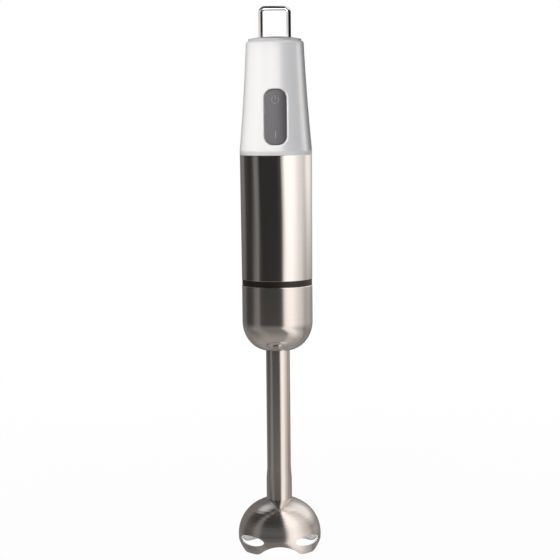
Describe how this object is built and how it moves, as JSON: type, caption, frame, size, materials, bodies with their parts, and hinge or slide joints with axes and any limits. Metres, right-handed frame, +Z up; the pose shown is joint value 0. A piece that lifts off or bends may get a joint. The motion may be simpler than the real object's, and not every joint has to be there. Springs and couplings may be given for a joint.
{
  "type": "immersion blender",
  "caption": "Upright cordless stick blender: white tapered handle with rocker switch and wire loop, polished motor sleeve, steel foot with bell, tube and arched blade guard.",
  "frame": {"origin": "on the axis, at the level of the blade guard's rim, which it stands on", "axes": "+Z up along the axis, -Y towards the button, +X to the right of someone facing the button"},
  "size_m": [0.065, 0.065, 0.4245],
  "materials": {
    "satin_steel": "satin, brushed round the axis",
    "polished_steel": "mirror polished",
    "chrome_wire": "chromed",
    "white_gloss": "gloss",
    "light_grey": "satin",
    "dark_grey": "soft touch",
    "black_plastic": "fine grain",
    "inner_plastic": "moulded",
    "coupler_plastic": "moulded",
    "screw_steel": "zinc plated",
    "shaft_steel": "ground",
    "blade_steel": "ground",
    "motor_steel": "galvanised",
    "lamination": "stacked sheet",
    "ferrite": "sintered",
    "copper": "enamelled wire",
    "bronze": "sintered",
    "carbon": "pressed",
    "black_rubber": "moulded",
    "board_green": "lacquered",
    "component_black": "moulded",
    "cell_wrap": "shrink wrapped",
    "nickel": "plated",
    "lead_cover": "extruded"
  },
  "bodies": {
    "motor_unit": {"motor_base": "black_plastic", "base_seal": "black_rubber", "base_screws": "screw_steel", "motor_housing": "polished_steel", "motor_carrier": "inner_plastic", "motor_screws": "screw_steel", "motor_can": "motor_steel", "motor_magnets": "ferrite", "motor_lower_bearing": "bronze", "motor_end_bell": "inner_plastic", "motor_upper_bearing": "bronze", "motor_brushes": "carbon", "motor_damper": "black_rubber", "trim_ring": "white_gloss", "handle_shell": "white_gloss", "rocker_bracket": "inner_plastic", "tact_switches": "component_black", "control_board": "board_green", "board_components": "component_black", "board_screws": "screw_steel", "chassis": "inner_plastic", "chassis_screws": "screw_steel", "battery_cells": "cell_wrap", "battery_tabs": "nickel", "battery_strap": "inner_plastic", "charge_board": "board_green", "charge_socket": "nickel", "motor_leads": "lead_cover", "top_cap": "light_grey", "loop_keeper": "inner_plastic", "cap_screws": "screw_steel"},
    "rotor": {"drive_coupler": "coupler_plastic", "rotor_shaft": "shaft_steel", "rotor_core": "lamination", "rotor_winding": "copper", "commutator": "copper"},
    "blade_drive": {"driven_coupler": "coupler_plastic", "drive_shaft": "shaft_steel", "shaft_clip": "screw_steel", "thrust_washer": "screw_steel", "blade_collar": "shaft_steel", "blade": "blade_steel", "blade_nut": "shaft_steel"},
    "foot": {"blade_guard": "satin_steel", "shaft_tube": "satin_steel", "foot_bell": "satin_steel", "foot_core": "inner_plastic", "upper_bush": "bronze", "seal_carrier": "inner_plastic", "lower_bush": "bronze", "shaft_seal": "black_rubber"},
    "loop": {"hanging_loop": "chrome_wire"},
    "button": {"rocker_button": "dark_grey"}
  },
  "joints": [
    {"name": "rotor_spin", "type": "hinge", "parent": "motor_unit", "child": "rotor", "pos_m": [0, 0, 0.22618], "axis": [0, 0, 1], "continuous": true},
    {"name": "blade_spin", "type": "hinge", "parent": "motor_unit", "child": "blade_drive", "pos_m": [0, 0, 0.017], "axis": [0, 0, 1], "continuous": true},
    {"name": "foot_twist", "type": "hinge", "parent": "motor_unit", "child": "foot", "pos_m": [0, 0, 0.20918], "axis": [0, 0, 1], "range_deg": [0, 30]},
    {"name": "loop_fold", "type": "hinge", "parent": "motor_unit", "child": "loop", "pos_m": [0, 0, 0.39358], "axis": [-1, 0, 0], "range_deg": [0, 70]},
    {"name": "button_rock", "type": "hinge", "parent": "motor_unit", "child": "button", "pos_m": [0, -0.01756, 0.33938], "axis": [1, 0, 0], "range_deg": [-2.5, 2.5], "stiffness_Nm_per_rad": 0.86}
  ],
  "couplings": [
    {"joint": "blade_spin", "follows": "rotor_spin", "ratio": 1}
  ]
}
